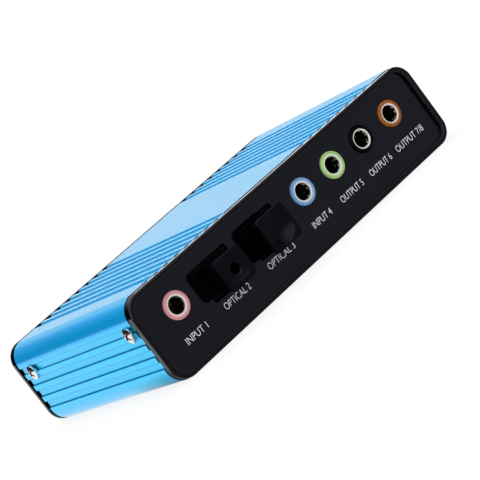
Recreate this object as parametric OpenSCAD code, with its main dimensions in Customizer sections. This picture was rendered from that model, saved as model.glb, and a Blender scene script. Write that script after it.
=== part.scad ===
// External sound card: an extruded aluminium tube, closed by a front bezel and a rear cap, holds one card.
// X runs along the socket panel, the panel faces -Y, and Z is up.
// The origin is the middle of the tube's underside. All sizes are in millimetres.

/* [Shell] */
// Width of the tube over its flat sides
shell_w = 92.2; // [90:0.1:96]
// Height of the tube
shell_h = 20.8; // [20.7:0.1:23]
// Length of the tube without the two ends
shell_len = 57.2; // [54:0.1:66]
// Radius of the tube's long edges
shell_r = 4.2; // [3.8:0.1:4.5]
// Wall of the tube between the channels
shell_wall = 1.6; // [1.4:0.05:1.7]

/* [Shell channels] */
// Width of one cooling channel
channel_w = 1.6; // [1:0.05:2]
// Depth of one cooling channel
channel_depth = 0.45; // [0.2:0.05:0.6]
// Spacing of the channels on the top and on the underside
top_channel_pitch = 3.15; // [2.6:0.05:3.2]
// Distance of the innermost channels from the middle
top_channel_start = 14; // [10:0.1:14.5]
// Channels in each of the two groups
top_channel_count = 8; // [3:1:8]
// Spacing of the channels on the sides
side_channel_pitch = 3.1; // [2.6:0.05:3.3]
// Channels on each side
side_channel_count = 4; // [1:1:4]

/* [Card and its rails] */
// Gap between the tallest socket on the card and the tongue over it
roof_gap = 0.2; // [0.15:0.05:0.6]
// Thickness of the card
card_t = 1.6; // [1:0.1:1.8]
// Gap between the card and what it slides in
card_gap = 0.15; // [0.1:0.05:0.3]
// Thickness of one rail inside the tube
rail_t = 0.9; // [0.6:0.1:1.2]
// How far a rail stands in from the wall
rail_reach = 1.9; // [1.2:0.1:2.4]

/* [Front bezel] */
// How far the bezel's outline lies inside the tube's
bezel_step = 0.12; // [0.04:0.02:0.6]
// Thickness of the bezel in front of the tube
bezel_t = 1.95; // [1.9:0.05:3]
// Width of the fine groove between the tube and the bezel
front_groove_w = 0.25; // [0.1:0.05:0.3]
// Depth of that groove
front_groove_depth = 0.5; // [0.3:0.1:0.8]
// Width of the rim round the panel
rim_w = 1.1; // [0.9:0.1:1.3]
// Depth of the panel below the rim
panel_recess = 1.1; // [0.6:0.1:1.2]
// Thickness of the glossy panel
panel_t = 0.5; // [0.3:0.1:0.7]
// Thickness of the bezel's wall inside the tube
inner_wall_t = 1; // [0.8:0.1:1.5]
// Rounding of the bezel's front edge
bezel_edge_r = 0.4; // [0.2:0.05:0.8]
// Length of the tongues and screw blocks behind the bezel
spigot_len = 6.5; // [5.5:0.1:7]
// Thickness of a tongue
tongue_t = 1; // [0.8:0.1:1.3]
// Length of a tongue along the tube's width
tongue_w = 62; // [40:1:66]
// Gap between the tube and what slides into it
spigot_gap = 0.15; // [0.1:0.05:0.3]

/* [Rear cap] */
// Width of the groove between the tube and the cap's flange
rear_groove_w = 1.05; // [0.6:0.05:1.6]
// Depth of that groove
rear_groove_depth = 0.8; // [0.4:0.1:1]
// Thickness of the cap's flange
rear_flange_t = 1.3; // [1:0.1:2]
// Rounding of the cap's rear edge
rear_edge_r = 0.5; // [0.2:0.05:0.8]
// Length of the tongues and screw blocks before the cap
rear_spigot_len = 8; // [7.8:0.1:9]

/* [Side screws] */
// Distance of the screw heads below the rounding of the tube's upper edges
screw_drop = 0.5; // [0:0.05:0.6]
// Distance of the front screws from the tube's front end
screw_front_inset = 2.55; // [2.2:0.05:3]
// Distance of the rear screws from the tube's rear end
screw_rear_inset = 5.55; // [4:0.05:5.8]
// Diameter of a screw's head
screw_head_d = 3.6; // [3:0.1:4]
// Height of the straight part of the head
screw_head_h = 0.6; // [0.4:0.1:0.8]
// Height of the dome on the head
screw_dome_h = 0.45; // [0.2:0.05:0.6]
// Outside diameter of the screw's thread
screw_d = 2.2; // [1.8:0.1:2.4]
// Length of the screw under its head
screw_len = 5.5; // [4:0.5:5.5]
// Width of one arm of the cross in the head
cross_w = 0.5; // [0.4:0.05:0.6]
// Length of the cross
cross_len = 2.1; // [1.6:0.1:2.2]
// Depth of the cross
cross_depth = 0.7; // [0.4:0.1:0.8]
// Width of the block that a screw enters
block_w = 3.79; // [3.5:0.01:4.2]
// How far a block stands out above and below the screw's head
block_margin = 1; // [0.6:0.1:1.4]

/* [Sockets for round plugs] */
// Spacing of the four sockets that stand side by side
socket_pitch = 10.16; // [10:0.01:10.3]
// Height of the sockets' axes above the card
socket_rise = 6.07; // [5.8:0.01:6.3]
// Diameter of a socket's coloured nose
nose_d = 6.1; // [6:0.1:6.6]
// How far a nose stands out of the face round it
nose_proud = 0.4; // [0.1:0.1:0.8]
// Diameter of the ring that a fine groove leaves in the face of a nose
nose_ring_d = 5.4; // [5.3:0.1:5.5]
// Width of that groove
nose_groove_w = 0.15; // [0.1:0.05:0.2]
// Depth of that groove
nose_groove_depth = 0.3; // [0.2:0.1:0.6]
// Diameter of the metal sleeve in the nose
sleeve_d = 5; // [4.6:0.1:5.2]
// Bore of the sleeve
sleeve_bore_d = 3.6; // [3.5:0.05:3.7]
// Diameter of the sleeve's countersunk mouth
sleeve_mouth_d = 4.15; // [3.8:0.05:4.4]
// Depth of the countersink
sleeve_mouth_depth = 0.5; // [0.2:0.1:1]
// Length of the sleeve
sleeve_len = 4.5; // [4:0.1:6]
// Width of a socket's body
socket_w = 9.6; // [9:0.1:9.8]
// Length of a socket's body
socket_len = 12; // [10:0.5:13]
// Height of a socket's body
socket_h = 10.4; // [9.8:0.1:10.6]
// Thickness of the spring contacts
contact_t = 0.25; // [0.2:0.05:0.4]

/* [Optical ports] */
// Share of the free width between the sockets that lies left of the optical input
receiver_share = 0.255; // [0.2:0.005:0.4]
// Share of the free width between the sockets that lies right of the optical output
transmitter_share = 0.324; // [0.2:0.002:0.4]
// Height of the optical ports' axes above the card
optical_rise = 5; // [4.8:0.05:5.2]
// Width of an optical opening in the panel
optical_w = 9.96; // [9.6:0.02:10.4]
// Height of an optical opening in the panel
optical_h = 8.64; // [8.4:0.02:8.8]
// Gap between the opening and the housing in it
optical_gap = 0.4; // [0.2:0.05:0.5]
// Depth of the housing's face below the panel
optical_sink = 0.3; // [0.1:0.05:0.5]
// Length of the optical housing behind the bezel's wall
optical_len = 11; // [10:0.5:13]

/* [Dust plugs] */
// Width of the plug's stem
stem_w = 7; // [6.6:0.1:7.2]
// Height of the plug's stem
stem_h = 6.2; // [5.8:0.1:6.4]
// Chamfer on the stem's two lower corners
stem_chamfer = 1.5; // [1:0.1:1.8]
// Depth of the stem in the port
stem_depth = 6.5; // [5:0.5:8]
// Gap between the stem and the port
stem_gap = 0.1; // [0.05:0.05:0.3]
// Thickness of the plug's head
head_t = 0.95; // [0.9:0.05:1.6]
// Width of the input plug's head
in_head_w = 7.75; // [7.5:0.05:8.6]
// Height of the input plug's head
in_head_h = 7.5; // [7.4:0.05:8.4]
// How far the input plug stands out of the bezel
in_head_out = 5.3; // [4:0.1:7]
// Diameter of the hole in the input plug
in_hole_d = 2.4; // [1.5:0.1:3]
// Side of the output plug's square head
out_head_w = 8.35; // [8:0.05:8.8]
// Diameter of the shallow dish in the input plug
in_dish_d = 7; // [6.5:0.1:7.2]
// Depth of that dish
in_dish_depth = 0.25; // [0.15:0.05:0.35]
// How far the output plug stands out of the bezel
out_head_out = 4.5; // [3.5:0.1:7]
// Diameter of the dish in the output plug
out_dish_d = 7.9; // [7:0.1:8]
// Depth of the dish
out_dish_depth = 0.6; // [0.3:0.05:0.8]
// Distance of the middle of both heads below the ports' axes
head_drop = 0.3; // [0:0.05:0.4]

/* [Rear sockets] */
// Width of the data socket
usb_w = 12; // [11.6:0.1:12.4]
// Height of the data socket
usb_h = 10.8; // [10.4:0.1:11]
// Length of the data socket
usb_len = 16; // [14:0.5:18]
// Thickness of the data socket's steel can
usb_can_t = 0.4; // [0.3:0.05:0.5]
// Width of the data socket's cavity
usb_cavity_w = 8.45; // [8.4:0.05:8.6]
// Height of the data socket's cavity
usb_cavity_h = 7.78; // [7.7:0.02:7.9]
// Depth of the data socket's cavity
usb_cavity_depth = 8.9; // [8.5:0.1:10]
// Width of the tongue in the cavity
usb_tongue_w = 5.6; // [5.4:0.1:5.7]
// Height of the tongue in the cavity
usb_tongue_h = 3.2; // [3:0.05:3.3]
// Diameter of the power lamp
led_d = 3; // [2:0.1:3.2]
// Gap round a socket or lamp in the wall it passes through
port_gap = 0.15; // [0.1:0.05:0.3]

/* [Parts on the card] */
// Width of the audio chip
chip_w = 7; // [6:0.5:9]
// Leads on one side of the audio chip
chip_leads = 12; // [8:1:12]
// Height of the audio chip
chip_h = 1.4; // [1:0.1:1.6]
// Diameter of the tall capacitors
capacitor_d = 5; // [4:0.5:5.5]
// Height of the tall capacitors
capacitor_h = 7; // [5:0.5:9]
// Width of the metal can of the crystal
crystal_w = 11; // [9:0.5:11.5]
// Height of the metal can of the crystal
crystal_h = 3.5; // [2.5:0.5:4]

/* [Hidden] */
$fn = 64;
// A cut runs this far past the face that it opens
past = 1;
mid_z = shell_h / 2;
// Inside of the tube
bay_w = shell_w - 2 * shell_wall;
bay_h = shell_h - 2 * shell_wall;
bay_r = shell_r - shell_wall;
// Ends of the tube
tube_front = -shell_len / 2;
tube_rear = shell_len / 2;
// Front bezel and its panel
bezel_w = shell_w - 2 * bezel_step;
bezel_h = shell_h - 2 * bezel_step;
bezel_r = shell_r - bezel_step;
bezel_front = tube_front - bezel_t;
window_w = bezel_w - 2 * rim_w;
window_h = bezel_h - 2 * rim_w;
window_r = bezel_r - rim_w;
panel_front = bezel_front + panel_recess;
panel_back = panel_front + panel_t;
panel_gap = 0.1;
inner_wall_back = tube_front + inner_wall_t;
// Card: its sockets reach up to just below the tongues
card_top = shell_h - shell_wall - spigot_gap - tongue_t - roof_gap - max(socket_h, usb_h);
card_bottom = card_top - card_t;
// Rear cap
groove_back = tube_rear + rear_groove_w;
cap_rear = groove_back + rear_flange_t;
rear_wall_front = tube_rear - inner_wall_t;
// Sockets for round plugs
socket_z = card_top + socket_rise;
body_gap = 0.2;
last_socket_x = bay_w / 2 - spigot_gap - block_w - body_gap - socket_w / 2;
socket_x = [-last_socket_x, last_socket_x - 3 * socket_pitch, last_socket_x - 2 * socket_pitch,
            last_socket_x - socket_pitch, last_socket_x];
nose_front = panel_front - nose_proud;
nose_len = inner_wall_back + body_gap - nose_front;
rear_nose_front = cap_rear + nose_proud;
rear_nose_len = rear_nose_front - rear_wall_front + body_gap;
headphone_x = socket_x[0];
nose_hole_r = nose_d / 2 + port_gap;
// Chamber behind the sleeve, with a spring contact along each side
chamber_w = 6;
chamber_h = 4;
chamber_back_t = 1;
contact_w = 1.4;
contact_pinch = 1.15;
contact_gap = 0.05;
contact_start = 1.2;
contact_lip_len = 1.6;
contact_lip_in = 0.6;
contact_ramp_len = 2.4;
// Contact legs: their distance from the body's rear, and their holes in the card
leg_inset = 2;
leg_w = 0.8;
leg_hole_r = 0.7;
leg_below = 1.6;
// Groove down each flank of a body, and the step along its upper rear edge
flank_groove_w = 1.6;
body_step_len = 3;
body_step_h = 1.5;
// Card
card_w = bay_w - 2 * card_gap;
card_front = inner_wall_back + body_gap;
card_rear = rear_wall_front - body_gap;
rail_top_z = card_top + card_gap;
rail_low_z = card_bottom - card_gap - rail_t;
// Optical ports
optical_z = card_top + optical_rise;
free_w = socket_x[1] - socket_x[0] - socket_w - 2 * optical_w;
receiver_x = socket_x[0] + (socket_w + optical_w) / 2 + receiver_share * free_w;
transmitter_x = socket_x[1] - (socket_w + optical_w) / 2 - transmitter_share * free_w;
snout_w = optical_w - 2 * optical_gap;
snout_h = optical_h - 2 * optical_gap;
snout_front = panel_front + optical_sink;
optical_body_front = inner_wall_back + body_gap;
optical_body_rear = optical_body_front + optical_len;
optical_top = optical_z + optical_h / 2;
optical_r = 0.5;
snout_r = 0.4;
port_spare = 1.5;
port_depth = stem_depth + port_spare;
lens_bore_d = 2.2;
lens_bore_len = 2;
// Groove down each flank of an optical housing
housing_groove_w = 1;
housing_groove_len = 2;
housing_groove_inset = 4;
// Heads of the dust plugs
head_z = optical_z - head_drop;
head_r = 1;
in_hole_depth = 4;
// Screws
screw_z = shell_h - shell_r - screw_head_d / 2 - screw_drop;
screw_front_y = tube_front + screw_front_inset;
screw_rear_y = tube_rear - screw_rear_inset;
screw_hole_gap = 0.2;
thread_gap = 0.05;
block_h = screw_head_d + 2 * block_margin;
// Power lamp and data socket
led_x = socket_x[2];
usb_x = last_socket_x - 3 / 4 * socket_pitch;
usb_z = card_top + usb_h / 2;
usb_sink = 0.6;
usb_rear = cap_rear - usb_sink;
usb_front = usb_rear - usb_len;
usb_chamfer = 1.6;
usb_tongue_inset = 1;
usb_contact_inset = 2;
usb_contact_t = 0.3;
usb_contact_w = 1;
// Leads of the chips
lead_t = 0.2;
lead_reach = 1;
lead_root = 0.4;
// Audio chip
chip_x = 2;
chip_y = 5;
chip_margin = 1;
// Line drivers, in the usual body with four leads on a side
driver_w = 4.9;
driver_d = 3.9;
driver_h = 1.5;
driver_pitch = 1.27;
driver_shift = 4;
driver_y = -6;
// Voltage regulator with its broad cooling tab
regulator_x = 10;
regulator_inset = 7.75;
regulator_w = 6.5;
regulator_d = 3.5;
regulator_h = 1.6;
regulator_pitch = 2.3;
regulator_tab_w = 3;
// Crystal
crystal_x = -16;
crystal_y = 8;
crystal_d = 4.6;
crystal_flange = 0.4;
// Tall capacitors: the space between two, and the first of each row
capacitor_gap = 1.5;
output_capacitors_x = 11.1;
output_capacitors_y = 3;
input_capacitors_y = 0;
// Small chip parts: the two rows at the inputs and the one at the audio chip
part_w = 1.6;
part_d = 0.8;
part_h = 0.5;
part_pitch = 2.5;
input_row_x = -30;
input_row_y = -8.5;
input_row_step = 2.2;
chip_row_x = -2;
chip_row_y = 14;

// A flat shape drawn in X and Z, given depth from y0 to y1
module slab(y0, y1) {
    translate([0, y1, 0]) rotate([90, 0, 0]) linear_extrude(y1 - y0) children();
}

// A rectangle with round corners, centred at height z
module rounded_rect(w, h, r, z = mid_z) {
    translate([0, z]) {
        square([w - 2 * r, h], center = true);
        square([w, h - 2 * r], center = true);
        for (sx = [-1, 1], sz = [-1, 1])
            translate([sx * (w / 2 - r), sz * (h / 2 - r)]) circle(r);
    }
}

// Half of the edge of a soft slab: flat out to half - e, then a quarter round of radius e
module edge_profile(half, e) {
    square([half - e, e]);
    intersection() {
        translate([half - e, e]) circle(e);
        square([half, e]);
    }
}

// A slab with round corners whose front edge, at y0, is rounded by e
module soft_slab(w, h, r, y0, y1, e) {
    slab(y0 + e, y1) rounded_rect(w, h, r);
    translate([0, y0, mid_z]) {
        for (side = [[w, h - 2 * r, 0], [h, w - 2 * r, 90]], flip = [0, 1])
            rotate([0, side[2], 0]) mirror([flip, 0, 0])
                linear_extrude(side[1], center = true) edge_profile(side[0] / 2, e);
        for (sx = [-1, 1], sz = [-1, 1])
            translate([sx * (w / 2 - r), 0, sz * (h / 2 - r)]) rotate([-90, 0, 0])
                rotate_extrude() edge_profile(r, e);
    }
}

// The two pairs of rails that hold the card, grown by g
module rail_pairs(g = 0) {
    for (s = [-1, 1], z = [rail_low_z, rail_top_z])
        translate([s * (bay_w - rail_reach) / 2, z + rail_t / 2])
            square([rail_reach + 2 * g, rail_t + 2 * g], center = true);
}

// The space inside the tube, kept g away from its walls and rails
module bay_section(g) {
    difference() {
        rounded_rect(bay_w - 2 * g, bay_h - 2 * g, bay_r - g);
        rail_pairs(g);
    }
}

// The cooling channels as they cut the tube's outline
module channel_cuts() {
    for (s = [-1, 1], t = [-1, 1], k = [0 : top_channel_count - 1])
        translate([s * (top_channel_start + k * top_channel_pitch), mid_z + t * shell_h / 2])
            square([channel_w, 2 * channel_depth], center = true);
    for (s = [-1, 1], k = [0 : side_channel_count - 1])
        translate([s * shell_w / 2, mid_z + (k - (side_channel_count - 1) / 2) * side_channel_pitch])
            square([2 * channel_depth, channel_w], center = true);
}

// Places each child at one of the four side screws, with +X pointing out of the tube
module at_screws(rows = [screw_front_y, screw_rear_y]) {
    for (y = rows, s = [0, 1])
        mirror([s, 0, 0]) translate([shell_w / 2, y, screw_z]) children();
}

module shell() {
    color("deepskyblue") difference() {
        slab(tube_front, tube_rear) union() {
            difference() {
                rounded_rect(shell_w, shell_h, shell_r);
                rounded_rect(bay_w, bay_h, bay_r);
                channel_cuts();
            }
            for (s = [-1, 1], z = [rail_low_z, rail_top_z])
                translate([s * (bay_w - rail_reach + shell_wall / 2) / 2, z + rail_t / 2])
                    square([rail_reach + shell_wall / 2, rail_t], center = true);
        }
        at_screws() rotate([0, 90, 0])
            cylinder(d = screw_d + 2 * screw_hole_gap, h = 4 * shell_wall, center = true);
    }
}

// What both end pieces have inside the tube: two tongues and two screw blocks, from y0 to y1
module inner_grips(y0, y1, screw_y) {
    slab(y0, y1) for (s = [-1, 1])
        translate([0, mid_z + s * (bay_h / 2 - spigot_gap - tongue_t / 2)])
            square([tongue_w, tongue_t], center = true);
    difference() {
        slab(y0, y1) for (s = [-1, 1])
            translate([s * (bay_w / 2 - spigot_gap - block_w / 2), screw_z])
                square([block_w, block_h], center = true);
        at_screws([screw_y]) rotate([0, 90, 0])
            cylinder(d = screw_d + 2 * thread_gap, h = 2 * (screw_len + past), center = true);
    }
}

// The openings of the front wall, grown by g round the noses and the optical housings
module front_holes(y0, y1, g = 0) {
    for (x = socket_x)
        translate([x, y0, socket_z]) rotate([-90, 0, 0]) cylinder(r = nose_hole_r + g, h = y1 - y0);
    for (x = [receiver_x, transmitter_x])
        translate([x, 0, 0]) slab(y0, y1)
            rounded_rect(optical_w + 2 * g, optical_h + 2 * g, optical_r + g, optical_z);
}

module front_bezel() {
    color([0.09, 0.1, 0.11]) difference() {
        union() {
            soft_slab(bezel_w, bezel_h, bezel_r, bezel_front, tube_front - front_groove_w, bezel_edge_r);
            slab(panel_back, tube_front)
                rounded_rect(bezel_w - 2 * front_groove_depth, bezel_h - 2 * front_groove_depth,
                             bezel_r - front_groove_depth);
            slab(panel_back, inner_wall_back) bay_section(spigot_gap);
            inner_grips(inner_wall_back - inner_wall_t / 2, tube_front + spigot_len, screw_front_y);
        }
        slab(bezel_front - past, panel_back) rounded_rect(window_w, window_h, window_r);
        front_holes(panel_back - past, inner_wall_back + past / 2, port_gap);
    }
}

module front_panel() {
    color([0.1, 0.11, 0.14]) difference() {
        slab(panel_front, panel_back)
            rounded_rect(window_w - 2 * panel_gap, window_h - 2 * panel_gap, window_r - panel_gap);
        front_holes(panel_front - past, panel_back + past);
    }
}

module rear_cap() {
    color([0.09, 0.1, 0.11]) difference() {
        union() {
            slab(rear_wall_front, tube_rear + past / 2) bay_section(spigot_gap);
            slab(tube_rear, groove_back + past / 2)
                rounded_rect(shell_w - 2 * rear_groove_depth, shell_h - 2 * rear_groove_depth,
                             shell_r - rear_groove_depth);
            mirror([0, 1, 0]) soft_slab(shell_w, shell_h, shell_r, -cap_rear, -groove_back, rear_edge_r);
            inner_grips(tube_rear - rear_spigot_len, rear_wall_front + inner_wall_t / 2, screw_rear_y);
        }
        translate([usb_x, 0, 0]) slab(rear_wall_front - past, cap_rear + past) translate([0, usb_z])
            square([usb_w + 2 * port_gap, usb_h + 2 * port_gap], center = true);
        for (hole = [[headphone_x, nose_hole_r], [led_x, led_d / 2 + port_gap]])
            translate([hole[0], rear_wall_front - past, socket_z]) rotate([-90, 0, 0])
                cylinder(r = hole[1], h = cap_rear - rear_wall_front + 2 * past);
    }
}

// One pan head screw: its head stands on x = 0 and its shank runs towards -X
module side_screw() {
    dome_r = (pow(screw_head_d / 2, 2) + pow(screw_dome_h, 2)) / (2 * screw_dome_h);
    top = screw_head_h + screw_dome_h;
    difference() {
        rotate([0, 90, 0]) rotate_extrude() {
            square([screw_head_d / 2, screw_head_h]);
            intersection() {
                translate([0, top - dome_r]) circle(dome_r);
                square([screw_head_d / 2, top]);
            }
            translate([0, -screw_len]) square([screw_d / 2, screw_len + screw_head_h / 2]);
        }
        for (a = [45, 135])
            rotate([a, 0, 0]) translate([top - cross_depth, -cross_len / 2, -cross_w / 2])
                cube([cross_depth + past, cross_len, cross_w]);
    }
}

module side_screws() {
    color("silver") at_screws() side_screw();
}

// Places each child at the five front sockets and, turned round, at the rear one
module at_sockets() {
    for (x = socket_x) translate([x, nose_front, socket_z]) children();
    translate([headphone_x, rear_nose_front, socket_z]) rotate([0, 0, 180]) children();
}

// Places of one socket's contact legs: its side of the axis and its distance behind the nose
function leg_places(n) = [for (s = [-1, 1]) [s * (chamber_w - contact_t) / 2, n + socket_len - leg_inset]];

module circuit_board() {
    color("darkgreen") difference() {
        translate([-card_w / 2, card_front, card_bottom]) cube([card_w, card_rear - card_front, card_t]);
        for (x = socket_x, p = leg_places(nose_len))
            translate([x + p[0], nose_front + p[1], card_bottom - past])
                cylinder(r = leg_hole_r, h = card_t + 2 * past);
        for (p = leg_places(rear_nose_len))
            translate([headphone_x - p[0], rear_nose_front - p[1], card_bottom - past])
                cylinder(r = leg_hole_r, h = card_t + 2 * past);
    }
}

// One socket: a coloured body on the card with a round nose, seen with its mouth at y = 0
module socket(n) {
    rear = n + socket_len;
    difference() {
        union() {
            rotate([-90, 0, 0]) cylinder(d = nose_d, h = n + past);
            translate([-socket_w / 2, n, -socket_rise]) cube([socket_w, socket_len, socket_h]);
        }
        translate([0, -past, 0]) rotate([-90, 0, 0]) cylinder(d = sleeve_d, h = sleeve_len + past);
        rotate([-90, 0, 0]) rotate_extrude() translate([nose_ring_d / 2, -past])
            square([nose_groove_w, nose_groove_depth + past]);
        translate([-chamber_w / 2, sleeve_len, -chamber_h / 2])
            cube([chamber_w, rear - chamber_back_t - sleeve_len, chamber_h]);
        for (p = leg_places(n))
            translate([p[0] - leg_w, p[1] - leg_w, -socket_rise - past])
                cube([2 * leg_w, 2 * leg_w, socket_rise]);
        for (s = [-1, 1])
            translate([(s * socket_w - flank_groove_w) / 2, n + socket_len / 2, -socket_rise - past])
                cube([flank_groove_w, flank_groove_w, socket_h + 2 * past]);
        translate([-socket_w / 2 - past, rear - body_step_len, socket_h - socket_rise - body_step_h])
            cube([socket_w + 2 * past, body_step_len + past, body_step_h + past]);
    }
}

module front_socket(k) {
    translate([socket_x[k], nose_front, socket_z]) socket(nose_len);
}

module mic_jack() { color("lightpink") front_socket(0); }
module line_jack() { color("cornflowerblue") front_socket(1); }
module front_jack() { color([0.55, 0.75, 0.35]) front_socket(2); }
module surround_jack() { color([0.05, 0.05, 0.05]) front_socket(3); }
module center_jack() { color([0.65, 0.35, 0.15]) front_socket(4); }
module headphone_jack() {
    color([0.05, 0.05, 0.05]) translate([headphone_x, rear_nose_front, socket_z]) rotate([0, 0, 180])
        socket(rear_nose_len);
}

// One turned sleeve with a countersunk mouth at y = 0
module sleeve() {
    rotate([-90, 0, 0]) difference() {
        cylinder(d = sleeve_d, h = sleeve_len);
        translate([0, 0, -past]) cylinder(d = sleeve_bore_d, h = sleeve_len + 2 * past);
        cylinder(d1 = sleeve_mouth_d, d2 = sleeve_bore_d, h = sleeve_mouth_depth);
        translate([0, 0, -past]) cylinder(d = sleeve_mouth_d, h = past + 0.001);
    }
}

module jack_sleeves() {
    color("silver") at_sockets() sleeve();
}

// The pair of bent strips that grip a plug, with their legs through the card
module contact_pair(n) {
    back = n + socket_len - chamber_back_t - body_gap;
    wall = chamber_w / 2 - contact_gap;
    // The strip runs from the back along the wall, bends in to the pinch and out again to its lip
    tip = sleeve_len + contact_start;
    pinch = tip + contact_lip_len;
    bend = pinch + contact_ramp_len;
    lip = wall - contact_lip_in;
    t = contact_t;
    for (s = [0, 1]) mirror([s, 0, 0]) {
        translate([0, 0, -contact_w / 2]) linear_extrude(contact_w)
            polygon([[wall, back], [wall, bend], [contact_pinch + t, pinch], [lip, tip],
                     [lip - t, tip], [contact_pinch, pinch], [wall - t, bend], [wall - t, back]]);
        translate([wall - t, n + socket_len - leg_inset - leg_w / 2, -socket_rise - card_t - leg_below])
            cube([t, leg_w, socket_rise + card_t + leg_below]);
    }
}

module jack_contacts() {
    color("gold") {
        for (x = socket_x) translate([x, nose_front, socket_z]) contact_pair(nose_len);
        translate([headphone_x, rear_nose_front, socket_z]) rotate([0, 0, 180]) contact_pair(rear_nose_len);
    }
}

// The outline of a plug's stem, grown by g: a block with its two lower corners cut off
module stem_section(g = 0) {
    w = stem_w / 2 + g;
    h = stem_h / 2 + g;
    translate([0, optical_z]) polygon([[-w, h], [w, h], [w, stem_chamfer - h], [w - stem_chamfer, -h],
        [stem_chamfer - w, -h], [-w, stem_chamfer - h]]);
}

// One optical housing: a snout in the panel's opening and a wider body that stands on the card
module optical_housing() {
    difference() {
        union() {
            slab(snout_front, optical_body_front + past)
                rounded_rect(snout_w, snout_h, snout_r, optical_z);
            translate([-optical_w / 2, optical_body_front, card_top])
                cube([optical_w, optical_len, optical_top - card_top]);
        }
        slab(snout_front - past, snout_front + port_depth) stem_section(stem_gap);
        translate([0, snout_front + port_depth - past, optical_z]) rotate([-90, 0, 0])
            cylinder(d = lens_bore_d, h = past + lens_bore_len);
        for (s = [-1, 1])
            translate([(s * optical_w - housing_groove_w) / 2, optical_body_rear - housing_groove_inset,
                       card_top - past])
                cube([housing_groove_w, housing_groove_len, optical_top - card_top + 2 * past]);
    }
}

module optical_receiver() { color([0.1, 0.1, 0.11]) translate([receiver_x, 0, 0]) optical_housing(); }
module optical_transmitter() { color([0.1, 0.1, 0.11]) translate([transmitter_x, 0, 0]) optical_housing(); }

// The stem of a plug and its head, whose face is at y = front
module plug_blank(front, w, h) {
    slab(front + head_t / 2, snout_front + stem_depth) stem_section();
    slab(front, front + head_t) rounded_rect(w, h, head_r, head_z);
}

// The round dish of a given width and depth that the face of a plug's head has
module head_dish(front, width, depth) {
    dish_r = (pow(width / 2, 2) + pow(depth, 2)) / (2 * depth);
    translate([0, front + depth - dish_r, head_z]) sphere(dish_r, $fn = 96);
}

module receiver_plug() {
    front = bezel_front - in_head_out;
    color([0.07, 0.07, 0.08]) translate([receiver_x, 0, 0]) difference() {
        plug_blank(front, in_head_w, in_head_h);
        head_dish(front, in_dish_d, in_dish_depth);
        translate([0, front - past, head_z]) rotate([-90, 0, 0])
            cylinder(d = in_hole_d, h = past + in_hole_depth);
    }
}

module transmitter_plug() {
    front = bezel_front - out_head_out;
    color([0.07, 0.07, 0.08]) translate([transmitter_x, 0, 0]) difference() {
        plug_blank(front, out_head_w, out_head_w);
        head_dish(front, out_dish_d, out_dish_depth);
    }
}

module usb_can() {
    color("silver") translate([usb_x, 0, 0]) difference() {
        slab(usb_front, usb_rear) translate([0, usb_z]) square([usb_w, usb_h], center = true);
        slab(usb_front - past, usb_rear + past) translate([0, usb_z])
            square([usb_w - 2 * usb_can_t, usb_h - 2 * usb_can_t], center = true);
    }
}

// The outline of the data socket's cavity: its two upper corners are cut off
module usb_cavity() {
    w = usb_cavity_w / 2;
    h = usb_cavity_h / 2;
    translate([0, usb_z]) polygon([[-w, -h], [w, -h], [w, h - usb_chamfer], [w - usb_chamfer, h],
        [usb_chamfer - w, h], [-w, h - usb_chamfer]]);
}

module usb_insulator() {
    color([0.9, 0.9, 0.88]) translate([usb_x, 0, 0]) {
        difference() {
            slab(usb_front, usb_rear - usb_can_t) translate([0, usb_z])
                square([usb_w - 2 * usb_can_t, usb_h - 2 * usb_can_t], center = true);
            slab(usb_rear - usb_cavity_depth, usb_rear + past) usb_cavity();
        }
        slab(usb_rear - usb_cavity_depth - past, usb_rear - usb_tongue_inset) translate([0, usb_z])
            square([usb_tongue_w, usb_tongue_h], center = true);
    }
}

module usb_contacts() {
    color("gold") for (s = [-1, 1], t = [-1, 1])
        translate([usb_x + s * usb_tongue_w / 4 - usb_contact_w / 2, usb_rear - usb_cavity_depth,
                   usb_z + t * (usb_tongue_h + usb_contact_t) / 2 - usb_contact_t / 2])
            cube([usb_contact_w, usb_cavity_depth - usb_contact_inset, usb_contact_t]);
}

// The power lamp: a domed lens in the cap, its base behind the wall and two legs to the card
module power_led() {
    base_t = 1;
    base_front = rear_wall_front - body_gap - base_t;
    base_rim = 0.4;
    dome_h = 0.9;
    leg = 0.5;
    leg_pitch = 2.54;
    color("dodgerblue") {
        translate([led_x, base_front, socket_z]) rotate([-90, 0, 0]) {
            cylinder(d = led_d + 2 * base_rim, h = base_t);
            cylinder(d = led_d, h = cap_rear - base_front);
            translate([0, 0, cap_rear - base_front]) intersection() {
                sphere(d = led_d);
                translate([0, 0, -dome_h]) cylinder(d = led_d, h = 2 * dome_h);
            }
        }
        for (s = [-1, 1]) translate([led_x + (s * leg_pitch - leg) / 2, base_front - leg, card_top])
            cube([leg, 2 * leg, socket_rise]);
    }
}

// A flat chip on the card: its body, and rows of leads along X on two sides or on all four
module flat_chip(w, d, h, leads, pitch, all_round = false) {
    translate([-w / 2, -d / 2, lead_t / 2]) cube([w, d, h - lead_t / 2]);
    for (turn = all_round ? [0, 90] : [0], k = [0 : leads - 1], s = [0, 1])
        rotate([0, 0, turn]) mirror([0, s, 0])
            translate([(k - (leads - 1) / 2) * pitch - pitch / 4, (turn == 0 ? d : w) / 2 - lead_root, 0])
                cube([pitch / 2, lead_reach + lead_root, lead_t]);
}

module audio_chip() {
    color([0.12, 0.12, 0.13]) translate([chip_x, chip_y, card_top])
        flat_chip(chip_w, chip_w, chip_h, chip_leads, (chip_w - chip_margin) / chip_leads, true);
}

// Three line drivers in a row behind the output sockets
module line_drivers() {
    color([0.12, 0.12, 0.13]) for (k = [1 : 3])
        translate([socket_x[k] + driver_shift, driver_y, card_top])
            flat_chip(driver_w, driver_d, driver_h, 4, driver_pitch);
}

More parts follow.
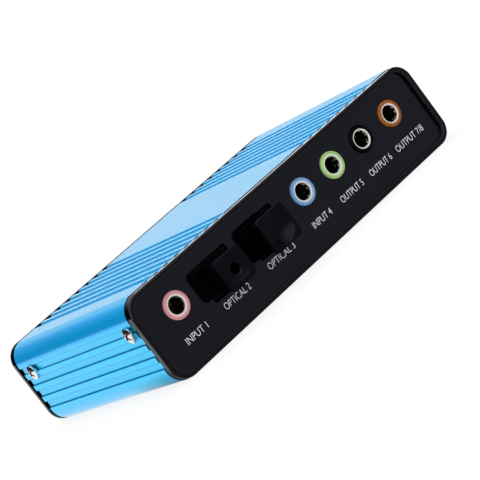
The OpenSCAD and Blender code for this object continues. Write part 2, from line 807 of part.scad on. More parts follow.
module voltage_regulator() {
    color([0.12, 0.12, 0.13]) translate([regulator_x, card_rear - regulator_inset, card_top]) {
        flat_chip(regulator_w, regulator_d, regulator_h, 3, regulator_pitch);
        translate([-regulator_tab_w / 2, 0, 0]) cube([regulator_tab_w, regulator_d, lead_t]);
    }
}

// The crystal's can: round ends, a straight middle and a foot flange
module crystal() {
    straight = crystal_w - crystal_d;
    color("silver") translate([crystal_x, crystal_y, card_top])
        for (part = [[crystal_d, crystal_h], [crystal_d + crystal_flange, crystal_flange]]) {
            for (s = [-1, 1])
                translate([s * straight / 2, 0, 0]) cylinder(d = part[0], h = part[1]);
            translate([-straight / 2, -part[0] / 2, 0]) cube([straight, part[0], part[1]]);
        }
}

// One tall capacitor with the rolled neck near its foot
module capacitor() {
    neck_z = 1.2;
    neck_depth = 0.2;
    neck_r = 0.4;
    difference() {
        cylinder(d = capacitor_d, h = capacitor_h);
        translate([0, 0, neck_z]) rotate_extrude()
            translate([capacitor_d / 2 + neck_r - neck_depth, 0]) circle(neck_r);
    }
}

// Two rows of three tall capacitors, behind the outputs and behind the inputs
module capacitors() {
    pitch = capacitor_d + capacitor_gap;
    color([0.15, 0.2, 0.35]) for (k = [0 : 2]) {
        translate([output_capacitors_x + k * pitch, output_capacitors_y, card_top]) capacitor();
        translate([socket_x[0] + k * pitch, input_capacitors_y, card_top]) capacitor();
    }
}

// A row of n small chip resistors and capacitors
module part_row(x, y, n) {
    for (k = [0 : n - 1]) translate([x + k * part_pitch, y, card_top]) cube([part_w, part_d, part_h]);
}

module chip_parts() {
    color([0.75, 0.7, 0.62]) {
        part_row(input_row_x, input_row_y, 8);
        part_row(input_row_x, input_row_y + input_row_step, 8);
        part_row(chip_row_x, chip_row_y, 6);
    }
}

shell();
front_bezel();
front_panel();
rear_cap();
side_screws();
circuit_board();
mic_jack();
line_jack();
front_jack();
surround_jack();
center_jack();
headphone_jack();
jack_sleeves();
jack_contacts();
optical_receiver();
optical_transmitter();
receiver_plug();
transmitter_plug();
usb_can();
usb_insulator();
usb_contacts();
power_led();
audio_chip();
line_drivers();
voltage_regulator();
crystal();
capacitors();
chip_parts();
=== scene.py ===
import math

import bmesh
import bpy
from mathutils import Matrix, Vector


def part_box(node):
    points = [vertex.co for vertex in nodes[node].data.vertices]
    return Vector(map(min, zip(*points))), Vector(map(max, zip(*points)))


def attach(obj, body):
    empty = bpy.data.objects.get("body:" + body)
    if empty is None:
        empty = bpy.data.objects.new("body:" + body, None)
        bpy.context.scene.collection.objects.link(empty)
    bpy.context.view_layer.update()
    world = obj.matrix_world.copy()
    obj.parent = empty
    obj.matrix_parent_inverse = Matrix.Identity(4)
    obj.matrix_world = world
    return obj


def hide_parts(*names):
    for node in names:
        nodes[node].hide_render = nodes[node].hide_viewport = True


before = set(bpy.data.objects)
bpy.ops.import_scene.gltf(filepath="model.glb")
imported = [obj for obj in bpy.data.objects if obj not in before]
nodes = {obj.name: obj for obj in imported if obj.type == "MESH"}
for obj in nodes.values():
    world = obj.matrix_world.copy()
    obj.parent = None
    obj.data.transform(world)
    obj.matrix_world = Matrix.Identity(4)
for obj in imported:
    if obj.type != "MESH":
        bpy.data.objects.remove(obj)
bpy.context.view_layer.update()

mm = 0.001

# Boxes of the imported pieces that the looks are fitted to
shell_low, shell_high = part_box("shell")
bezel_low, bezel_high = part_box("front_bezel")
panel_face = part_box("front_panel")[0].y

# Sizes of the part that no box gives
shell_r = 4.2 * mm
bezel_r = 4.08 * mm
socket_rise = 6.07 * mm
screw_head_r = 1.8 * mm


# Camera

def photo_camera():
    """The camera of the photograph, as the corners of the object place it."""
    data = bpy.data.cameras.new("photo_camera")
    data.sensor_width = 36
    data.lens = 146.15
    data.clip_start = 0.01
    data.clip_end = 30
    place = Vector((-218.133, -372.972, 72.860)) * mm
    right = Vector((0.642513, -0.482512, -0.595281)).normalized()
    back = Vector((-0.50477, -0.850995, 0.144963)).normalized()
    up = back.cross(right).normalized()
    camera = bpy.data.objects.new("photo_camera", data)
    camera.matrix_world = Matrix.Translation(place) @ Matrix((right, up, back)).transposed().to_4x4()
    bpy.context.scene.collection.objects.link(camera)
    bpy.context.scene.camera = camera


photo_camera()


# Steps that the finishes are made of

def finish_nodes(name):
    """A new material with its nodes and its surface shader."""
    material = bpy.data.materials.new(name)
    material.use_nodes = True
    tree = material.node_tree
    return material, tree, tree.nodes["Principled BSDF"]


def grey(level):
    """A neutral colour."""
    return level, level, level


def axes(tree, space="Object"):
    """The three coordinates: metres over the piece, or with Generated the direction in the sky."""
    place = tree.nodes.new("ShaderNodeTexCoord")
    split = tree.nodes.new("ShaderNodeSeparateXYZ")
    tree.links.new(place.outputs[space], split.inputs["Vector"])
    return split.outputs["X"], split.outputs["Y"], split.outputs["Z"]


def grain(tree, scale, detail=3, stretch=(1, 1, 1)):
    """Noise over the piece's own coordinates, in grains per metre."""
    place = tree.nodes.new("ShaderNodeTexCoord")
    stretched = tree.nodes.new("ShaderNodeMapping")
    stretched.inputs["Scale"].default_value = stretch
    noise = tree.nodes.new("ShaderNodeTexNoise")
    noise.inputs["Scale"].default_value = scale
    noise.inputs["Detail"].default_value = detail
    tree.links.new(place.outputs["Object"], stretched.inputs["Vector"])
    tree.links.new(stretched.outputs["Vector"], noise.inputs["Vector"])
    return noise.outputs["Fac"]


def calculate(tree, operation, first, second=None):
    """One step of arithmetic between sockets or plain numbers."""
    step = tree.nodes.new("ShaderNodeMath")
    step.operation = operation
    for place, value in enumerate((first, second)):
        if isinstance(value, (int, float)):
            step.inputs[place].default_value = value
        elif value is not None:
            tree.links.new(value, step.inputs[place])
    return step.outputs["Value"]


def times(tree, first, second):
    """The product of two values, or the overlap of two masks."""
    return calculate(tree, "MULTIPLY", first, second)


def apart(tree, value, place):
    """How far a coordinate is from a place, on either side of it."""
    return calculate(tree, "ABSOLUTE", calculate(tree, "SUBTRACT", value, place))


def hypotenuse(tree, across, upward):
    """The distance that two lengths at a right angle make."""
    squares = [times(tree, side, side) for side in (across, upward)]
    return calculate(tree, "SQRT", calculate(tree, "ADD", *squares))


def fit_range(tree, value, source, target, course="LINEAR"):
    """Runs over the target range while the value runs over the source range, and holds still beyond it."""
    fit = tree.nodes.new("ShaderNodeMapRange")
    fit.interpolation_type = course
    for end, number in zip(("From Min", "From Max", "To Min", "To Max"), (*source, *target)):
        fit.inputs[end].default_value = number
    tree.links.new(value, fit.inputs["Value"])
    return fit.outputs["Result"]


def spread(tree, noise, low, high):
    """Spreads noise, which lies mostly between 0.3 and 0.7, over the range from low to high."""
    return fit_range(tree, noise, (0.3, 0.7), (low, high))


def rise(tree, value, start, end, low=0.0, high=1.0):
    """Runs smoothly from low to high while the value runs from start to end."""
    return fit_range(tree, value, (start, end), (low, high), "SMOOTHSTEP")


def fall(tree, value, start, end):
    """Runs smoothly from 1 to 0 while the value runs from start to end."""
    return rise(tree, value, start, end, 1.0, 0.0)


def blend_colours(tree, amount, first, second):
    """A colour between two, by an amount from 0 to 1; each colour is a socket or three numbers."""
    mix = tree.nodes.new("ShaderNodeMix")
    mix.data_type = "RGBA"
    tree.links.new(amount, mix.inputs["Factor"])
    for place, colour in (("A", first), ("B", second)):
        if isinstance(colour, tuple):
            mix.inputs[place].default_value = (*colour, 1)
        else:
            tree.links.new(colour, mix.inputs[place])
    return mix.outputs["Result"]


def blend_shaders(tree, amount, first, second):
    """A shader between two, by an amount from 0 to 1."""
    mix = tree.nodes.new("ShaderNodeMixShader")
    tree.links.new(amount, mix.inputs["Fac"])
    tree.links.new(first, mix.inputs[1])
    tree.links.new(second, mix.inputs[2])
    return mix.outputs["Shader"]


def relief(tree, shader, height, depth, strength):
    """Presses a height pattern into the surface, depth in metres."""
    bump = tree.nodes.new("ShaderNodeBump")
    bump.inputs["Strength"].default_value = strength
    bump.inputs["Distance"].default_value = depth
    tree.links.new(height, bump.inputs["Height"])
    tree.links.new(bump.outputs["Normal"], shader.inputs["Normal"])


def clouded(name, dark, light, rough, clouds, pores, constants, touch=None):
    """A finish whose colour and roughness vary in clouds, with fine pores pressed into it.

    clouds has its grains per metre and its detail, and pores adds a depth in metres and a strength.
    constants are values of the shader, and touch is a function that changes the colour in some places.
    """
    material, tree, shader = finish_nodes(name)
    pattern = grain(tree, *clouds)
    colour = blend_colours(tree, spread(tree, pattern, 0, 1), dark, light)
    if touch:
        colour = touch(tree, colour)
    tree.links.new(colour, shader.inputs["Base Color"])
    tree.links.new(spread(tree, pattern, *rough), shader.inputs["Roughness"])
    for socket, value in constants.items():
        shader.inputs[socket].default_value = value
    scale, detail, depth, strength = pores
    relief(tree, shader, grain(tree, scale, detail), depth, strength)
    return material


# Places on the pieces

def below_skin(tree, x, z, low, high, radius):
    """Distance below the round-cornered outline that an extruded tube has in X and Z."""
    half_h = (high.z - low.z) / 2
    out_x = calculate(tree, "SUBTRACT", calculate(tree, "ABSOLUTE", x), high.x - radius)
    out_z = calculate(tree, "SUBTRACT", apart(tree, z, (low.z + high.z) / 2), half_h - radius)
    past_corner = [calculate(tree, "MAXIMUM", out, 0.0) for out in (out_x, out_z)]
    short_of_corner = calculate(tree, "MINIMUM", calculate(tree, "MAXIMUM", out_x, out_z), 0.0)
    outward = calculate(tree, "ADD", hypotenuse(tree, *past_corner), short_of_corner)
    return calculate(tree, "SUBTRACT", radius, outward)


def bore_of(node, facing=-1):
    """The x and the z of a socket's axis and the y of its mouth, which faces -Y or, with facing 1, +Y."""
    low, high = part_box(node)
    return (low.x + high.x) / 2, low.z + socket_rise, low.y if facing < 0 else high.y


# The pale inner ring of each front socket, from left to right
lip_colours = {"mic_jack": (0.76, 0.40, 0.43), "line_jack": (0.30, 0.50, 0.76),
               "front_jack": (0.50, 0.74, 0.32), "surround_jack": (0.001, 0.001, 0.0015),
               "center_jack": (0.38, 0.12, 0.025)}


def socket_lips(tree, x, z):
    """The colour of the nearest socket's inner ring, and where on the sleeves' faces that ring lies."""
    (first, colour), *others = lip_colours.items()
    left, axis_z, _ = bore_of(first)
    nearest = apart(tree, x, left)
    for node, tone in others:
        middle = bore_of(node)[0]
        halfway = (left + middle) / 2
        colour = blend_colours(tree, rise(tree, x, halfway - mm, halfway + mm), colour, tone)
        nearest = calculate(tree, "MINIMUM", nearest, apart(tree, x, middle))
        left = middle
    from_axis = hypotenuse(tree, nearest, calculate(tree, "SUBTRACT", z, axis_z))
    return colour, rise(tree, from_axis, 2.22 * mm, 2.28 * mm)


# Changes of colour in some places of a piece, most of them painted light and shade

def painted_recess_light(tree, colour):
    """Paints light on the bezel's wall in front of the panel, lifting it to grey, down to a dark line at its
    foot.
    """
    x, y, z = axes(tree)
    inward = below_skin(tree, x, z, bezel_low, bezel_high, bezel_r)
    behind = calculate(tree, "SUBTRACT", y, bezel_low.y)
    on_wall = times(tree, rise(tree, inward, 1.02 * mm, 1.1 * mm), fall(tree, behind, 0.78 * mm, 0.9 * mm))
    return blend_colours(tree, on_wall, colour, (0.024, 0.024, 0.028))


def shaded_sleeve_bores(tree, colour):
    """Paints shade into the sleeves' bores, with a few painted glints, and colours the socket lips round
    them.
    """
    low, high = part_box("jack_sleeves")
    x, y, z = axes(tree)
    depth = calculate(tree, "SUBTRACT", (high.y - low.y) / 2, apart(tree, y, (low.y + high.y) / 2))
    # Painted shade inside the bore, broken by painted glints of light that gather just behind the mouth
    inside = rise(tree, depth, 0.2 * mm, 0.36 * mm)
    behind_mouth = times(tree, rise(tree, depth, 0.3 * mm, 0.4 * mm), fall(tree, depth, 0.9 * mm, 1.1 * mm))
    more_glints = times(tree, behind_mouth, 0.1)
    glints = rise(tree, calculate(tree, "ADD", grain(tree, 1600), more_glints), 0.66, 0.71)
    bore_shade = blend_colours(tree, glints, (0.005, 0.005, 0.003), (0.9, 0.85, 0.6))
    colour = blend_colours(tree, inside, colour, bore_shade)
    lip_colour, on_lip = socket_lips(tree, x, z)
    return blend_colours(tree, on_lip, colour, lip_colour)


def shaded_screw_cross(tree, colour):
    """Paints shade into the cross recess of each screw."""
    low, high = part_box("side_screws")
    x, y, z = axes(tree)
    from_front_screw = apart(tree, y, low.y + screw_head_r)
    from_rear_screw = apart(tree, y, high.y - screw_head_r)
    along = calculate(tree, "MINIMUM", from_front_screw, from_rear_screw)
    upward = calculate(tree, "SUBTRACT", z, (low.z + high.z) / 2)
    near_axis = fall(tree, hypotenuse(tree, along, upward), 1.1 * mm, 1.15 * mm)
    below_top = calculate(tree, "SUBTRACT", high.x, calculate(tree, "ABSOLUTE", x))
    sunk = rise(tree, below_top, 0.17 * mm, 0.22 * mm)
    return blend_colours(tree, times(tree, near_axis, sunk), colour, grey(0.015))


# Finishes

def anodised_blue():
    """Dyed aluminium under clear oxide, drawn along Y, with painted shade on the rib edges and the ends,
    painted light at the foot of the roof channels' walls, and painted light and shade that set the sides
    apart from the round edges.
    """
    material, tree, shader = finish_nodes("anodised_blue")
    x, y, z = axes(tree)
    depth = below_skin(tree, x, z, shell_low, shell_high, shell_r)
    streaks = grain(tree, 900, 4, (1, 0.02, 1))

    # The skin: the sides, the round edges over them and the roof, each with darker and lighter streaks.
    # These colours by height are painted light and shade: the round edges get a deeper painted-shade blue
    # and the sides a paler painted-light cyan.
    bands = spread(tree, streaks, 0, 1)
    sides = blend_colours(tree, bands, (0.003, 0.54, 0.97), (0.005, 0.60, 1.0))
    curves = blend_colours(tree, bands, (0.001, 0.43, 0.97), (0.003, 0.47, 1.0))
    roof = blend_colours(tree, bands, (0.003, 0.50, 0.97), (0.005, 0.56, 1.0))
    side_to_curve = (15.9 * mm, 17.4 * mm)
    curve_to_roof = (20.0 * mm, 20.7 * mm)
    colour = blend_colours(tree, rise(tree, z, *side_to_curve), sides, curves)
    colour = blend_colours(tree, rise(tree, z, *curve_to_roof), colour, roof)

    # Painted light at the foot of the roof channels' walls, lifting them out of their shade
    wall_foot = times(tree, rise(tree, depth, 0.22 * mm, 0.28 * mm), fall(tree, depth, 0.41 * mm, 0.44 * mm))
    on_roof = rise(tree, z, 15 * mm, 18 * mm)
    colour = blend_colours(tree, times(tree, wall_foot, on_roof), colour, (0.22, 0.80, 1.0))

    # Painted shade on the round edges of the ribs, which reaches deeper on the sides
    on_side = fall(tree, z, 16.5 * mm, 19 * mm)
    side_reach = times(tree, on_side, 0.14 * mm)
    shaded_rib_edge = times(tree, rise(tree, depth, 0.005 * mm, 0.04 * mm),
                     fall(tree, calculate(tree, "SUBTRACT", depth, side_reach), 0.16 * mm, 0.26 * mm))
    edge_shade = blend_colours(tree, on_side, (0.004, 0.42, 0.92), (0.0005, 0.17, 0.47))
    colour = blend_colours(tree, shaded_rib_edge, colour, edge_shade)

    # Painted shade on the ends, where the tube meets the bezel and the cap
    half_len = (shell_high.y - shell_low.y) / 2
    shaded_ends = rise(tree, calculate(tree, "ABSOLUTE", y), half_len - 0.09 * mm, half_len - 0.02 * mm)
    colour = blend_colours(tree, shaded_ends, colour, (0.0, 0.03, 0.09))
    tree.links.new(colour, shader.inputs["Base Color"])

    # The oxide is thinner on the edges and the ends, where the shade is painted
    worn = times(tree, shaded_rib_edge, spread(tree, on_side, 0.4, 1.0))
    covered = calculate(tree, "SUBTRACT", 1.0, calculate(tree, "MAXIMUM", worn, shaded_ends))
    tree.links.new(times(tree, covered, 0.58), shader.inputs["Coat Weight"])
    shader.inputs["Coat Roughness"].default_value = 0.18

    tree.links.new(spread(tree, streaks, 0.18, 0.26), shader.inputs["Roughness"])
    shader.inputs["Metallic"].default_value = 0.5
    shader.inputs["Specular IOR Level"].default_value = 0.05
    relief(tree, shader, grain(tree, 5000, 2, (1, 0.01, 1)), 0.000004, 0.6)
    return material


def moulded_black(name, dark, light, rough, gloss, sheen=(0.84, 0.88, 1.0), touch=None):
    """Black plastic with a sheen that is a little blue."""
    return clouded(name, dark, light, rough, (120, 3), (4000, 3, 0.0000015, 0.5),
                   {"Specular IOR Level": gloss, "Specular Tint": (*sheen, 1)}, touch)


def polished_panel():
    """Clear lacquer over black, with slow waves."""
    return clouded("polished_panel", (0.0003, 0.0003, 0.0006), (0.0006, 0.0006, 0.0011), (0.05, 0.10),
                   (60, 4), (90, 1, 0.00002, 0.2),
                   {"Specular IOR Level": 1.0, "Specular Tint": (0.70, 0.73, 1.0, 1)})


def moulded_colour(name, dark, light, rough=(0.22, 0.34), touch=None):
    """Coloured plastic."""
    return clouded(name, dark, light, rough, (300, 3), (5000, 2, 0.000006, 0.4), {}, touch)


def socket_plastic(name, dark, light, node):
    """Coloured plastic for a front socket, with painted shade in its bore."""
    middle, axis_z, mouth = bore_of(node)

    def shaded_bore(tree, colour):
        """Paints shade into the bore from just behind its mouth."""
        x, y, z = axes(tree)
        across = calculate(tree, "SUBTRACT", x, middle)
        upward = calculate(tree, "SUBTRACT", z, axis_z)
        inside = fall(tree, hypotenuse(tree, across, upward), 3.0 * mm, 3.5 * mm)
        deep = rise(tree, calculate(tree, "SUBTRACT", y, mouth), 0.4 * mm, 1.0 * mm)
        return blend_colours(tree, times(tree, inside, deep), colour, grey(0.002))

    return moulded_colour(name, dark, light, touch=shaded_bore)


def plated(name, dark, light, rough, metal=1.0, touch=None):
    """Plated metal."""
    return clouded(name, dark, light, rough, (700, 4), (6000, 2, 0.000004, 0.4), {"Metallic": metal}, touch)


def printed_card():
    """Green lacquer over rows of copper."""
    material, tree, shader = finish_nodes("printed_card")
    place = tree.nodes.new("ShaderNodeTexCoord")
    tracks = tree.nodes.new("ShaderNodeTexBrick")
    tracks.inputs["Scale"].default_value = 220
    tracks.inputs["Mortar Size"].default_value = 0.012
    tracks.inputs["Color1"].default_value = (0.010, 0.085, 0.035, 1)
    tracks.inputs["Color2"].default_value = (0.014, 0.105, 0.045, 1)
    tracks.inputs["Mortar"].default_value = (0.03, 0.19, 0.08, 1)
    tree.links.new(place.outputs["Object"], tracks.inputs["Vector"])
    tree.links.new(tracks.outputs["Color"], shader.inputs["Base Color"])
    tree.links.new(spread(tree, grain(tree, 400), 0.25, 0.4), shader.inputs["Roughness"])
    return material


blue = anodised_blue()
# The bezel and the cap, with painted light on the bezel's recess wall
black = moulded_black("moulded_black", (0.0006, 0.0006, 0.0010), (0.0011, 0.0011, 0.0017),
                      (0.05, 0.09), 0.6, touch=painted_recess_light)
plug_black = moulded_black("plug_black", (0.0003, 0.0003, 0.0008), (0.0006, 0.0006, 0.0014),
                           (0.14, 0.22), 0.34, (0.76, 0.79, 1.0))
optical_black = moulded_black("optical_black", (0.0004, 0.0004, 0.0006), (0.0008, 0.0008, 0.0011),
                              (0.2, 0.3), 0.12)
jet = moulded_black("socket_black", (0.0004, 0.0004, 0.0006), (0.0008, 0.0008, 0.0011), (0.14, 0.22), 0.15)
chip_black = moulded_black("chip_black", grey(0.012), grey(0.02), (0.45, 0.6), 0.5)
panel_gloss = polished_panel()
pink = socket_plastic("socket_pink", (0.62, 0.26, 0.29), (0.70, 0.31, 0.34), "mic_jack")
sky = socket_plastic("socket_blue", (0.16, 0.33, 0.60), (0.20, 0.38, 0.66), "line_jack")
lime = socket_plastic("socket_green", (0.36, 0.56, 0.20), (0.42, 0.62, 0.24), "front_jack")
brown = socket_plastic("socket_brown", (0.31, 0.085, 0.010), (0.37, 0.11, 0.015), "center_jack")
milk = moulded_colour("insulator_white", (0.60, 0.60, 0.57), (0.68, 0.68, 0.65))
lens = moulded_colour("lamp_blue", (0.05, 0.16, 0.55), (0.07, 0.2, 0.62), (0.06, 0.12))
sleeve_film = moulded_colour("capacitor_film", (0.012, 0.02, 0.06), (0.018, 0.03, 0.08))
ceramic = moulded_colour("chip_ceramic", (0.30, 0.24, 0.16), (0.42, 0.35, 0.25), (0.4, 0.55))
ink = moulded_colour("legend_ink", (0.72, 0.73, 0.75), (0.80, 0.81, 0.83), (0.4, 0.5))
# Nickel sleeves, with painted shade and painted glints in their bores
nickel = plated("sleeve_nickel", (0.86, 0.85, 0.82), (0.95, 0.94, 0.91), (0.18, 0.28), 0.3, shaded_sleeve_bores)
# Nickel screws, with painted shade in their cross recesses
screw_nickel = plated("screw_nickel", grey(0.78), grey(0.93), (0.10, 0.22), touch=shaded_screw_cross)
gold = plated("contact_gold", (0.50, 0.44, 0.28), (0.62, 0.56, 0.36), (0.2, 0.3))
can_steel = plated("can_steel", grey(0.52), grey(0.62), (0.22, 0.35))
card = printed_card()


# Pieces

def settle(name, mesh, material, slot, *stands_for):
    """Makes a piece of a mesh, in the one body, with the CAD nodes that it stands for."""
    piece = bpy.data.objects.new(name, mesh)
    bpy.context.scene.collection.objects.link(piece)
    mesh.materials.clear()
    mesh.materials.append(material)
    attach(piece, "root")
    if stands_for:
        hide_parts(*stands_for)


def merged(node):
    """A CAD node's mesh with its loose triangles joined and its flat faces made whole."""
    same_place = 0.0004 * mm
    flat_within = math.radians(0.6)
    bm = bmesh.new()
    bm.from_mesh(nodes[node].data)
    bmesh.ops.remove_doubles(bm, verts=bm.verts, dist=same_place)
    bmesh.ops.dissolve_limit(bm, angle_limit=flat_within, verts=bm.verts, edges=bm.edges)
    return bm


def round_edges(bm, width, segments=3, chosen=None):
    """Rounds the sharp edges, or those of them that are chosen."""
    sharp_from = math.radians(35)
    sharp = [edge for edge in bm.edges if edge.is_manifold and edge.calc_face_angle() > sharp_from
             and (chosen is None or chosen(edge))]
    bmesh.ops.bevel(bm, geom=sharp, offset=width, offset_type="OFFSET", segments=segments, profile=0.5,
                    affect="EDGES", clamp_overlap=True, material=-1)


def smooth_mesh(bm, name):
    """The mesh of bm, shaded smooth with normals that keep the flat faces flat."""
    crease_from = math.radians(50)
    mesh = bpy.data.meshes.new(name)
    bm.to_mesh(mesh)
    bm.free()
    for face in mesh.polygons:
        face.use_smooth = True
    mesh.set_sharp_from_angle(angle=crease_from)
    holder = bpy.data.objects.new(name, mesh)
    bpy.context.scene.collection.objects.link(holder)
    weigh = holder.modifiers.new("flat_faces", "WEIGHTED_NORMAL")
    weigh.keep_sharp = True
    ready = holder.evaluated_get(bpy.context.evaluated_depsgraph_get())
    result = bpy.data.meshes.new_from_object(ready)
    result.name = name
    bpy.data.objects.remove(holder)
    bpy.data.meshes.remove(mesh)
    return result


def dressed(node, name, material, slot, width):
    """Stands for a CAD node with its sharp edges rounded."""
    bm = merged(node)
    round_edges(bm, width)
    settle(name, smooth_mesh(bm, name), material, slot, node)


def dressed_socket(node, name, material, slot, facing=-1):
    """A socket with the outer edge of its nose rounded."""
    rim_round = 0.12 * mm
    rim_inner_r = 3.0 * mm
    on_face = 0.01 * mm
    middle, axis_z, mouth = bore_of(node, facing)

    def on_rim(edge):
        """An edge of the nose's outer rim."""
        return all(abs(v.co.y - mouth) < on_face
                   and math.hypot(v.co.x - middle, v.co.z - axis_z) > rim_inner_r for v in edge.verts)

    bm = merged(node)
    round_edges(bm, rim_round, 4, on_rim)
    settle(name, smooth_mesh(bm, name), material, slot, node)


def finned_tube():
    """The tube, with the edges of its ribs worn round as extruded ribs are."""
    side_rib_round = 0.4 * mm
    flat_rib_round = 0.3 * mm
    sawn_round = 0.05 * mm
    long_edge = 20 * mm
    on_skin = 0.02 * mm

    def lengthwise(edge):
        """An edge that runs the length of the tube."""
        first, second = edge.verts
        return abs(first.co.y - second.co.y) > long_edge

    def rib(edge):
        """A lengthwise edge that stands out."""
        return lengthwise(edge) and edge.calc_face_angle_signed() > 0

    def side_rib(edge):
        """A rib's edge on the left or the right side."""
        return rib(edge) and abs(abs(edge.verts[0].co.x) - shell_high.x) < on_skin

    def flat_rib(edge):
        """A rib's edge on the roof or the underside."""
        z = edge.verts[0].co.z
        return rib(edge) and min(abs(z - shell_low.z), abs(z - shell_high.z)) < on_skin

    bm = merged("shell")
    round_edges(bm, side_rib_round, 5, side_rib)
    round_edges(bm, flat_rib_round, 5, flat_rib)
    round_edges(bm, sawn_round, 2, lambda edge: not lengthwise(edge))
    settle("blue_tube", smooth_mesh(bm, "blue_tube"), blue, "anodised_blue", "shell")


finned_tube()
dressed("front_bezel", "bezel", black, "black_plastic", 0.12 * mm)
dressed("front_panel", "panel", panel_gloss, "gloss_panel", 0.08 * mm)
dressed("rear_cap", "cap", black, "black_plastic", 0.12 * mm)
dressed("side_screws", "screws", screw_nickel, "screw_nickel", 0.08 * mm)
dressed_socket("mic_jack", "pink_socket", pink, "pink_plastic")
dressed_socket("line_jack", "blue_socket", sky, "blue_plastic")
dressed_socket("front_jack", "green_socket", lime, "green_plastic")
dressed_socket("surround_jack", "black_socket", jet, "socket_black")
dressed_socket("center_jack", "brown_socket", brown, "brown_plastic")
dressed_socket("headphone_jack", "rear_socket", jet, "socket_black", 1)
dressed("jack_sleeves", "sleeves", nickel, "sleeve_nickel", 0.1 * mm)
dressed("optical_receiver", "optical_input", optical_black, "optical_black", 0.15 * mm)
dressed("optical_transmitter", "optical_output", optical_black, "optical_black", 0.15 * mm)
dressed("receiver_plug", "input_plug", plug_black, "plug_black", 0.12 * mm)
dressed("transmitter_plug", "output_plug", plug_black, "plug_black", 0.12 * mm)
dressed("usb_can", "data_can", can_steel, "can_steel", 0.08 * mm)
dressed("usb_insulator", "data_insulator", milk, "white_plastic", 0.1 * mm)
dressed("power_led", "lamp", lens, "led_blue", 0.05 * mm)

# The CAD nodes that are shown as they are
kept = {"jack_contacts": gold, "usb_contacts": gold, "circuit_board": card, "audio_chip": chip_black,
        "line_drivers": chip_black, "voltage_regulator": chip_black, "crystal": can_steel,
        "capacitors": sleeve_film, "chip_parts": ceramic}
for node, material in kept.items():
    nodes[node].data.materials.clear()
    nodes[node].data.materials.append(material)


# Legends

def legend(words, x, width):
    """White capitals printed on the panel: words, centred at x, spread to a width."""
    cap_height = 1.5 * mm
    foot_z = 5.25 * mm
    ink_t = 0.02 * mm
    curve = bpy.data.curves.new("legend", "FONT")
    curve.body = words
    curve.size = 1.0
    curve.extrude = 0.01
    curve.offset = -0.012
    writer = bpy.data.objects.new("legend", curve)
    bpy.context.scene.collection.objects.link(writer)
    mesh = bpy.data.meshes.new_from_object(writer.evaluated_get(bpy.context.evaluated_depsgraph_get()))
    bpy.data.objects.remove(writer)
    sides = [(min(side), max(side)) for side in zip(*(v.co for v in mesh.vertices))]
    (left, right), (foot, top), (back, front) = sides
    centre = Matrix.Translation((-(left + right) / 2, -foot, -back))
    fit = Matrix.Diagonal((width / (right - left), cap_height / (top - foot), ink_t / (front - back), 1))
    stand = Matrix.Rotation(math.radians(90), 4, "X")
    place = Matrix.Translation((x, panel_face, foot_z))
    mesh.transform(place @ stand @ fit @ centre)
    mesh.name = "legend_" + words.lower().replace(" ", "_").replace("/", "_")
    settle(mesh.name, mesh, ink, "gloss_panel")


# Each with its middle and its width in millimetres
for words, x, width in (("INPUT 1", -35.65, 6.2), ("OPTICAL 2", -22.95, 7.85), ("OPTICAL 3", -8.65, 8.4),
                        ("INPUT 4", 5.15, 6.0), ("OUTPUT 5", 15.45, 7.4), ("OUTPUT 6", 25.6, 7.4),
                        ("OUTPUT 7/8", 36.05, 9.4)):
    legend(words, x * mm, width * mm)


# Studio

def white_floor():
    """A white floor that keeps the shadow near the object and fades to pure white further out.

    In reflections it glows by itself, darker in front of the object than under it and behind it.
    """
    half_size = 12
    drop = 0.02 * mm
    shadow_r = 0.05
    pure_white_r = 0.22
    bm = bmesh.new()
    bmesh.ops.create_grid(bm, x_segments=2, y_segments=2, size=half_size)
    bmesh.ops.translate(bm, verts=bm.verts, vec=(0, 0, -drop))
    mesh = bpy.data.meshes.new("floor")
    bm.to_mesh(mesh)
    bm.free()
    floor = bpy.data.objects.new("floor", mesh)
    bpy.context.scene.collection.objects.link(floor)

    material, tree, shader = finish_nodes("white_floor")
    shader.inputs["Base Color"].default_value = (0.8, 0.8, 0.8, 1)
    shader.inputs["Roughness"].default_value = 0.9
    shader.inputs["Specular IOR Level"].default_value = 0.0
    glow = tree.nodes.new("ShaderNodeEmission")
    path = tree.nodes.new("ShaderNodeLightPath")
    x, y, _ = axes(tree)
    direct = path.outputs["Is Camera Ray"]
    mirrored = calculate(tree, "MAXIMUM", path.outputs["Is Glossy Ray"], path.outputs["Is Transmission Ray"])
    pure = fit_range(tree, hypotenuse(tree, x, y), (shadow_r, pure_white_r), (0.86, 1.0))
    darker_in_front = rise(tree, y, -0.03, 0.0, 0.19, 1.0)
    tree.links.new(calculate(tree, "MAXIMUM", direct, darker_in_front), glow.inputs["Strength"])
    glowing = calculate(tree, "MAXIMUM", times(tree, pure, direct), mirrored)
    surface = blend_shaders(tree, glowing, shader.outputs["BSDF"], glow.outputs["Emission"])
    tree.links.new(surface, tree.nodes["Material Output"].inputs["Surface"])
    mesh.materials.append(material)


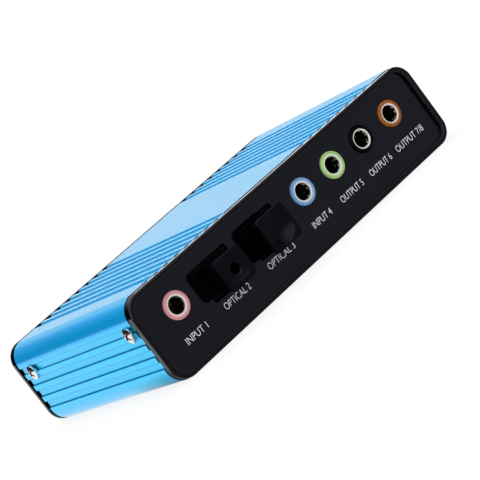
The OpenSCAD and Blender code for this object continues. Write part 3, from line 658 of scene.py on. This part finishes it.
def studio_world():
    """Even white light, with a white background and a studio that only reflections show.

    The studio is white in front and dark at its far right, black to grey from left to right behind,
    and white overhead. Low behind on the right it has one bright strip.
    """
    world = bpy.data.worlds.new("studio")
    world.use_nodes = True
    bpy.context.scene.world = world
    tree = world.node_tree
    x, y, z = axes(tree, "Generated")

    def background(strength):
        """White from all sides."""
        light = tree.nodes.new("ShaderNodeBackground")
        light.inputs["Color"].default_value = (1, 1, 1, 1)
        light.inputs["Strength"].default_value = strength
        return light.outputs["Background"]

    def levels(along, stops):
        """Grey levels at stops along one axis of the sky, which runs from -1 to 1."""
        ramp = tree.nodes.new("ShaderNodeValToRGB")
        elements = ramp.color_ramp.elements
        for place, _ in stops[1:-1]:
            elements.new((place + 1) / 2)
        for element, (_, level) in zip(elements, stops):
            element.color = (level, level, level, 1)
        tree.links.new(fit_range(tree, along, (-1, 1), (0, 1)), ramp.inputs["Fac"])
        return ramp.outputs["Color"]

    before = levels(x, ((-1, 1), (-0.2, 1), (0.4, 0.8), (0.7, 0.1), (1, 0.02)))
    behind = levels(x, ((-1, 0.01), (-0.33, 0.01), (-0.2, 0.08), (-0.05, 0.2), (0.12, 0.5), (0.3, 0.55),
                        (0.42, 0.4), (1, 0.4)))
    around = blend_colours(tree, rise(tree, y, -0.2, 0.2), before, behind)
    sky = blend_colours(tree, rise(tree, z, 0.62, 0.8), around, grey(1.0))
    low_down = levels(z, ((-1, 0), (0.112, 0), (0.116, 1), (0.134, 1), (0.138, 0), (1, 0)))
    on_right = levels(x, ((-1, 0), (0.2, 0), (0.3, 1), (1, 1)))
    at_back = levels(y, ((-1, 0), (0.4, 0), (0.6, 1), (1, 1)))
    strip_gain = 4.9
    strip = times(tree, times(tree, low_down, on_right), at_back)
    studio = tree.nodes["Background"]
    tree.links.new(sky, studio.inputs["Color"])
    tree.links.new(calculate(tree, "ADD", 1.0, times(tree, strip, strip_gain)), studio.inputs["Strength"])

    path = tree.nodes.new("ShaderNodeLightPath")
    ambient = background(1.08)
    backdrop = background(1.0)
    lighting = blend_shaders(tree, path.outputs["Is Glossy Ray"], ambient, studio.outputs["Background"])
    direct = calculate(tree, "MAXIMUM", path.outputs["Is Camera Ray"], path.outputs["Is Transmission Ray"])
    surface = blend_shaders(tree, direct, lighting, backdrop)
    tree.links.new(surface, tree.nodes["World Output"].inputs["Surface"])


def softbox():
    """A soft square light overhead and a little behind, which reflections don't show."""
    side = 0.7
    place = Vector((0.0, 0.1, 0.9))
    data = bpy.data.lights.new("overhead", "AREA")
    data.shape = "SQUARE"
    data.size = side
    data.energy = 4.5
    lamp = bpy.data.objects.new("overhead", data)
    lamp.visible_glossy = False
    lamp.location = place
    lamp.rotation_euler = (-place).to_track_quat("-Z", "Y").to_euler()
    bpy.context.scene.collection.objects.link(lamp)


white_floor()
studio_world()
softbox()
bpy.context.scene.view_settings.view_transform = "Standard"
